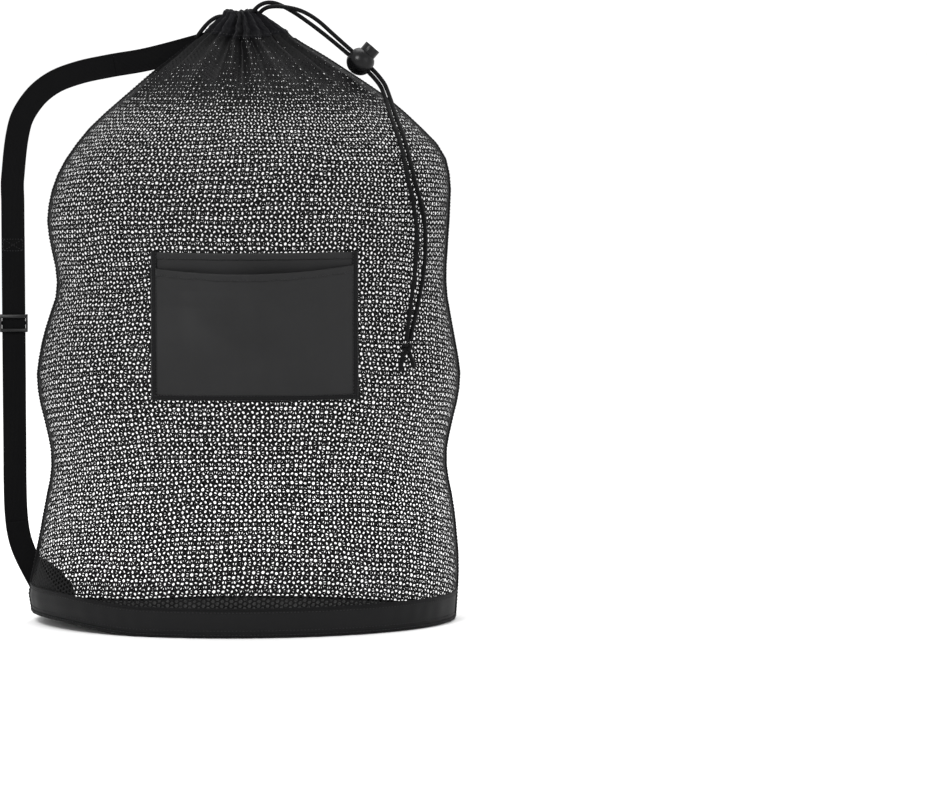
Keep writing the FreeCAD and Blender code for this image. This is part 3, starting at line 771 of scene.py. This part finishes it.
# ---- pocket ----
POCKET_LEFT, POCKET_RIGHT = -0.119, 0.143
POCKET_FOOT, POCKET_TOP = 0.303, 0.489
POCKET_BINDING = 0.008
POCKET_GAPE = 0.015
BACK_LIFT, FRONT_LIFT = 0.0028, 0.0040       # how far the two cloths lie off the net
BINDING_ACROSS = np.linspace(-0.0041, 0.0041, 7)
BINDING_RISE = np.array([0.1, 0.75, 1.0, 1.0, 0.96, 0.75, 0.1]) * 0.0046
BINDING_ROWS = (-0.0026, 0.0026)
FINE_STITCH = (0.0026, 0.0013, 0.0004)       # length, gap and width


def share_at(x, z):
    """The share round the front at which the body has this x."""
    x, z = np.broadcast_arrays(np.asarray(x, float), np.asarray(z, float))
    low, high = np.zeros(x.shape), np.ones(x.shape)
    for _ in range(26):
        middle = (low + high) / 2
        left = body_point(middle, z)[..., 0] < x
        low, high = np.where(left, middle, low), np.where(left, high, middle)
    return (low + high) / 2


def pocket_point(x, z, lift):
    """A point over the body's front, pushed straight forwards."""
    x, z, lift = np.broadcast_arrays(*(np.asarray(value, float) for value in (x, z, lift)))
    point = body_point(share_at(x, z), z)
    return np.stack([point[..., 0], point[..., 1] - lift, point[..., 2]], -1)


def mouth_height(x):
    across = (x - (POCKET_LEFT + POCKET_RIGHT) / 2) / ((POCKET_RIGHT - POCKET_LEFT) / 2)
    return POCKET_TOP - 0.026 + 0.008 * across**2 + 0.002 * across


def gape(x, z):
    across = np.clip((x - POCKET_LEFT) / (POCKET_RIGHT - POCKET_LEFT), 0, 1)
    up = np.clip((z - POCKET_FOOT) / (POCKET_TOP - POCKET_FOOT), 0, 1)
    puff = np.sin(math.pi * across) ** 0.8 * np.sin(math.pi / 2 * up) ** 0.8
    crease = 0.0012 * np.sin(34 * across + 5 * up) * np.sin(math.pi * up)
    crease = crease + 0.0009 * np.sin(17 * up + 9 * across)
    return POCKET_GAPE * puff + crease * np.sin(math.pi * across)


def flat_top(x):
    return np.full(np.shape(x), POCKET_TOP)


def back_lift(x, z):
    return BACK_LIFT + 0 * x


def front_lift(x, z):
    return FRONT_LIFT + gape(x, z)


def pocket_cloth(name, xs, top, lift, thick, replaced):
    foot = POCKET_FOOT + POCKET_BINDING - 0.002
    t = np.linspace(0, 1, 70)[:, None]
    z = foot * (1 - t) + top(xs)[None, :] * t
    x = np.broadcast_to(xs[None, :], z.shape)
    obj = grid_mesh(name, pocket_point(x, z, lift(x, z)), thick)
    return place(obj, "bag", POCKET_CLOTH, "pocket_cloth", replaced)


def pocket_hem(name, xs, top, lift, replaced):
    """The turned top edge of a pocket cloth, with its row of stitches."""
    t = np.linspace(-1, 1, 11)
    rise = 0.0010 * np.sqrt(np.clip(1 - t**4, 0.02, 1))
    z = top(xs)[None, :] - 0.0045 + 0.0047 * t[:, None]
    x = np.broadcast_to(xs[None, :], z.shape)
    wave = 0.0003 * np.sin(x * 260 + 2 * np.sin(x * 60))
    edge = grid_mesh(name, pocket_point(x, z, lift(x, z) + rise[:, None] + wave), 0.0026)
    place(edge, "bag", POCKET_CLOTH, "pocket_cloth", replaced)

    def sewn(extra):
        z = top(xs) - 0.0072
        return pocket_point(xs, z, lift(xs, z) + 0.0010 + extra)

    stitches(f"{name}_stitches", [sewn], *FINE_STITCH)


def pocket_side_binding(name, x_middle):
    z = np.linspace(POCKET_FOOT, POCKET_TOP + 0.001, 90)
    gx, gz = np.meshgrid(x_middle + BINDING_ACROSS, z)
    rise = 0.0013 + BINDING_RISE[None, :] + 0.0002 * np.sin(gz * 700)
    binding = grid_mesh(f"pocket_{name}_tape", pocket_point(gx, gz, rise), 0.003)
    place(binding, "bag", TAPE, "binding_tape", f"pocket_{name}_binding")
    rows = [lambda extra, m=m: pocket_point(x_middle + m, z, 0.0060 + extra) for m in BINDING_ROWS]
    stitches(f"pocket_{name}_stitches", rows, *FINE_STITCH)


def pocket_bottom_binding():
    x = np.linspace(POCKET_LEFT, POCKET_RIGHT, 120)
    z_middle = POCKET_FOOT + POCKET_BINDING / 2
    gx, gz = np.meshgrid(x, z_middle + BINDING_ACROSS)
    rise = 0.0011 + BINDING_RISE[:, None] + 0.0002 * np.sin(gx * 700)
    binding = grid_mesh("pocket_bottom_tape", pocket_point(gx, gz, rise), 0.003)
    place(binding, "bag", TAPE, "binding_tape", "pocket_bottom_binding")
    rows = [lambda extra, m=m: pocket_point(x, z_middle + m, 0.0058 + extra) for m in BINDING_ROWS]
    stitches("pocket_bottom_stitches", rows, *FINE_STITCH)


def make_pocket():
    tuck = POCKET_BINDING - 0.002        # the cloths end inside the bindings
    xs = np.linspace(POCKET_LEFT + tuck, POCKET_RIGHT - tuck, 110)
    back = pocket_cloth("pocket_back_cloth", xs, flat_top, back_lift, 0.0012, "pocket_back_panel")
    front = pocket_cloth("pocket_front_cloth", xs, mouth_height, front_lift, 0.0013, "pocket_front_panel")
    pocket_hem("pocket_front_edge", xs, mouth_height, front_lift, "pocket_front_hem")
    pocket_hem("pocket_back_edge", xs, flat_top, back_lift, "pocket_back_hem")
    pocket_side_binding("left", POCKET_LEFT + POCKET_BINDING / 2)
    pocket_side_binding("right", POCKET_RIGHT - POCKET_BINDING / 2)
    pocket_bottom_binding()


# ---- gathered hem ----
def make_hem():
    """The crumpled hem, which turns over at the top and goes down inside the mouth."""
    turn = np.linspace(0, 2, 20 * PLEATS + 1)[:-1]
    foot = HEM_FOOT + 0.008 * np.cos(math.pi * turn) ** 2
    grid = []
    for t in np.linspace(0, 1, 22):
        z = foot + (HEM_TOP - foot) * t
        crumple = 0.0006 * np.sin(turn * math.pi * 57 + z * 900)
        crumple = crumple + 0.0009 * np.sin(turn * math.pi * 31 + 40 * z)
        rise = t * (0.0012 * np.sin(turn * math.pi * 3 + 1) + 0.0010 * np.sin(turn * math.pi * 13 + 2))
        row = body_point(turn, z, 0.0014 + crumple)
        row[:, 2] += rise
        grid.append(row)
    top = grid[-1]
    centre = np.array([-0.001, 0.0, 0.0])
    for inward, down in (
        (0.86, -0.0022), (0.70, -0.0016), (0.52, 0.003), (0.42, 0.009), (0.38, 0.016), (0.38, 0.024),
    ):
        row = centre + (top - centre) * [inward, inward, 1]
        row[:, 2] -= down
        grid.append(row)
    hem = grid_mesh("gathered_hem", np.array(grid), 0.0, closed_u=True)
    place(hem, "bag", HEM_CLOTH, "solid_fabric", "neck_hem")
    rows = [body_row(np.append(turn, 2.0), 0.003 + np.append(foot, foot[0]), 0.0022)]
    stitches("hem_stitches", rows, 0.003, 0.0016, 0.0005)


def make_cord_ring():
    """The cord inside the hem, in two arcs, in degrees."""
    radius, height = 0.021, 0.780
    arcs = []
    for start, end in ((0, 165), (210, 256)):
        turn = np.radians(np.linspace(start, end, 40))
        path = [(radius * math.cos(a), radius * math.sin(a), height) for a in turn]
        arcs.append(tube("arc", path, CORD_DIAMETER / 2, 10))
    place(join("drawcord_inside_hem", arcs), "bag", BRAID, "cord", "drawcord_ring")


# ---- shoulder strap ----
STRAP_ROUTE = [
    (-0.046, 0.7500), (-0.124, 0.7295), (-0.175, 0.7205), (-0.214, 0.712), (-0.247, 0.699), (-0.272, 0.678),
    (-0.290, 0.646), (-0.300, 0.575), (-0.300, 0.545), (-0.300, 0.378), (-0.300, 0.211), (-0.300, 0.181),
    (-0.299, 0.142), (-0.2955, 0.112), (-0.2875, 0.087), (-0.267, 0.046),
]
WEB_ACROSS = np.array([-15, -14.6, -13.6, -12.9, -12.2, -8, -4, 0, 4, 8, 12.2, 12.9, 13.6, 14.6, 15]) / 1000
WEB_THICK = np.array([0.3, 0.9, 1.16, 1.05, 0.9, 1.0, 1.0, 1.0, 1.0, 1.0, 0.9, 1.05, 1.16, 0.9, 0.3]) / 1000


def smooth_line(points, step):
    """An even walk along a rounded line through the points."""
    norm = np.linalg.norm
    dense = []
    n = len(points)
    p = np.array(points, float)
    for k in range(n - 1):
        a, b, c, d = p[max(k - 1, 0)], p[k], p[k + 1], p[min(k + 2, n - 1)]
        long = norm(c - b)
        leaving = (c - a) / (long + norm(b - a)) * long
        arriving = (d - b) / (norm(d - c) + long) * long
        for t in np.linspace(0, 1, 60, endpoint=k == n - 2):
            on_ends = b * (2 * t**3 - 3 * t**2 + 1) + c * (3 * t**2 - 2 * t**3)
            dense.append(on_ends + leaving * (t**3 - 2 * t**2 + t) + arriving * (t**3 - t**2))
    dense = np.array(dense)
    run = np.concatenate([[0], np.cumsum(norm(np.diff(dense, axis=0), axis=1))])
    walk = np.linspace(0, run[-1], int(run[-1] / step) + 1)
    return np.stack([np.interp(walk, run, dense[:, k]) for k in range(2)], 1), walk


def web_ribbon(name, line, walk, y_offset=0.0, play=None):
    """Webbing along a line in X and Z, with firm rounded selvages."""
    tangent = np.gradient(line, walk, axis=0)
    tangent /= np.linalg.norm(tangent, axis=1)[:, None]
    side = np.stack([-tangent[:, 1], tangent[:, 0]], 1)
    play = np.zeros(len(walk)) if play is None else play
    loop_across = np.concatenate([WEB_ACROSS, WEB_ACROSS[::-1]])
    loop_thick = np.concatenate([WEB_THICK, -WEB_THICK[::-1]])
    verts, cols = [], len(loop_across)
    for (x, z), (sx, sz), lean in zip(line, side, play):
        for a, t in zip(loop_across, loop_thick):
            verts.append((x + sx * a, y_offset + lean + t, z + sz * a))
    obj = link_mesh(name, verts, grid_faces(len(walk), cols, ends=True))
    layer = obj.data.uv_layers.new(name="along")
    for loop in obj.data.loops:
        r, c = divmod(loop.vertex_index, cols)
        layer.data[loop.index].uv = (loop_across[c], walk[r])
    return obj


def make_main_webbing():
    """The main band in three lengths, of which the outer two bend from the bag to the strap."""
    line, walk = smooth_line(STRAP_ROUTE, 0.002)
    height = line[:, 1]
    off_slider = smoothstep((height - 0.49) / 0.06) + smoothstep((0.29 - height) / 0.06)
    off_ends = np.minimum(smoothstep((walk - 0.06) / 0.05), smoothstep((walk[-1] - 0.06 - walk) / 0.05))
    play = 0.0012 * np.sin(walk * 21 + 0.5) * off_slider * off_ends
    upper_hinge = np.argmin(np.hypot(*(line - STRAP_ROUTE[1]).T))
    lower_hinge = np.argmin(np.hypot(*(line - STRAP_ROUTE[-2]).T))
    reach = 22               # steps from a hinge to the cut
    cuts = [0, upper_hinge + reach, lower_hinge - reach, len(walk) - 1]
    parts = []
    for name, first, last in zip(("upper", "middle", "lower"), cuts, cuts[1:]):
        use = slice(first, last + 1)
        parts.append(web_ribbon(f"strap_{name}", line[use], walk[use], play=play[use]))
    upper, middle, lower = parts
    place(middle, "strap", WEBBING, "webbing", "strap_webbing")
    for piece, hinge, way, anchor in (
        (upper, upper_hinge, 1, "strap_upper_anchor"), (lower, lower_hinge, -1, "strap_lower_anchor"),
    ):
        piece.data.materials.clear()
        piece.data.materials.append(WEBBING)
        start, end = line[hinge - 4 * way], line[hinge + (reach - 2) * way]
        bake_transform(piece, "bag", "strap", start=(start[0], 0, start[1]), end=(end[0], 0, end[1]))
        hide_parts(anchor)


def make_second_layer():
    """The webbing's return behind the slider."""
    z = np.arange(0.300, 0.5001, 0.002)
    layer = web_ribbon("strap_second_layer", np.stack([np.full(len(z), STRAP_X), z], 1), z, 0.0025)
    place(layer, "strap", WEBBING, "webbing", "strap_return_layer")


def straight_row(start, end, y, outward):
    """A row of stitches from start to end in X and Z, on the face at y."""
    x, z = np.linspace(start, end, 12).T
    return lambda extra: np.stack([x, np.full(12, y + outward * extra), z], 1)


def make_box_stitches():
    """The crossed box that sews the second layer's top to the band, seen on both faces."""
    low, high, left, right = 0.482, 0.497, -0.3125, -0.2875
    a, b, c, d = (left, low), (right, low), (right, high), (left, high)
    rows = []
    for y, outward in ((-0.0011, -1), (0.0036, 1)):
        for start, end in ((a, b), (d, c), (a, d), (b, c), (a, c), (d, b)):
            rows.append(straight_row(start, end, y, outward))
    box = stitches("strap_box_stitches", rows, 0.0024, 0.0011, 0.0004)
    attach(box, "strap")


# ---- hardware ----
def bevelled_copy(name, cad_node, width):
    """A copy of a CAD part with its edges softened."""
    obj = nodes[cad_node].copy()
    obj.data = nodes[cad_node].data.copy()
    obj.parent = None
    for key in list(obj.keys()):
        del obj[key]
    obj.hide_render = False
    obj.name = name
    bpy.context.scene.collection.objects.link(obj)
    mesh = bmesh.new()
    mesh.from_mesh(obj.data)
    bmesh.ops.remove_doubles(mesh, verts=mesh.verts, dist=0.00002)
    bmesh.ops.dissolve_limit(mesh, angle_limit=math.radians(4), verts=mesh.verts, edges=mesh.edges)
    mesh.to_mesh(obj.data)
    mesh.free()
    for attribute in list(obj.data.attributes):
        if attribute.name in ("custom_normal", "sharp_face", "sharp_edge"):
            obj.data.attributes.remove(attribute)
    bevel = obj.modifiers.new("bevel", "BEVEL")
    bevel.width = width
    bevel.segments = 3
    bevel.limit_method = "ANGLE"
    bevel.angle_limit = math.radians(35)
    bevel.use_clamp_overlap = True
    bevel.harden_normals = True
    apply_modifiers(obj)
    obj.data.shade_smooth()
    obj.data.set_sharp_from_angle(angle=math.radians(40))
    return obj


def make_hardware():
    slider = bevelled_copy("strap_tri_glide", "strap_slider", 0.0007)
    place(slider, "slider", SLIDER_PLASTIC, "slider_plastic", "strap_slider")
    ball = bevelled_copy("cord_lock_ball", "cord_lock_body", 0.0006)
    place(ball, "cord_lock", LOCK_PLASTIC, "lock_plastic", "cord_lock_body")
    button = bevelled_copy("cord_lock_plunger", "cord_lock_button", 0.0014)
    place(button, "lock_button", LOCK_PLASTIC, "lock_plastic", "cord_lock_button")
    make_spring()


def make_spring():
    """The coil under the button; it rides with the lock body at one length, though the real coil shortens as
    the button is pressed.
    """
    centre = Vector((0.1496, -0.027, 0.7266))        # of the lock
    along = Vector((45, 0, 52)).normalized()         # the way in which the button stands out
    front = Vector((0, 1, 0))
    side = along.cross(front)
    foot, top, radius, turns, wire = -0.01505, -0.00935, 0.006, 2, 0.00035
    path = []
    for t in np.linspace(0, 1, 73):
        a = 2 * math.pi * turns * t
        round_it = (side * math.cos(a) + front * math.sin(a)) * radius
        path.append(centre + along * (foot + (top - foot) * t) + round_it)
    coil = tube("cord_lock_coil", path, wire, 8)
    place(coil, "cord_lock", STEEL, "spring_steel", "cord_lock_spring")
    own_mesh(coil)


# ---- floor and light ----
def make_stage():
    bpy.context.scene.view_settings.view_transform = "Standard"
    bpy.ops.mesh.primitive_plane_add(size=80, location=(0, 25, -0.0006))
    floor = bpy.context.object
    floor.name = "floor"
    material, tree, shader = new_material("floor_white")
    cloud = node(tree, "TexNoise", {"Vector": object_place(tree), "Scale": 0.7}).outputs["Fac"]
    tree.links.new(ramp(tree, cloud, (0.90, 0.90, 0.90), (0.92, 0.92, 0.92)), shader.inputs["Base Color"])
    shader.inputs["Roughness"].default_value = 0.9
    shader.inputs["Specular IOR Level"].default_value = 0.1
    floor.data.materials.append(material)
    world = bpy.data.worlds.new("studio")
    bpy.context.scene.world = world
    world.use_nodes = True
    background = world.node_tree.nodes["Background"].inputs
    background["Color"].default_value = (1.0, 1.0, 1.0, 1)
    background["Strength"].default_value = 1.13
    aim = Vector((0, 0, 0.4))
    for name, place_at, energy, size in (
        ("key", (-1.4, -2.6, 2.6), 90, 1.2), ("fill", (2.6, -2.4, 1.4), 22, 2.0),
        ("top", (0.2, 0.8, 2.8), 35, 1.6),
    ):
        lamp = bpy.data.lights.new(name, "AREA")
        lamp.energy = energy
        lamp.size = size
        lamp_object = link(name, lamp)
        lamp_object.location = place_at
        lamp_object.rotation_mode = "QUATERNION"
        lamp_object.rotation_quaternion = (aim - Vector(place_at)).to_track_quat("-Z", "Y")


make_hardware()
make_cords()
make_net()
make_seams()
make_band()
make_foot_tapes()
make_band_stitches()
make_base_cloth()
make_corner_patch()
make_pocket()
make_hem()
make_cord_ring()
make_main_webbing()
make_second_layer()
make_box_stitches()
make_stage()
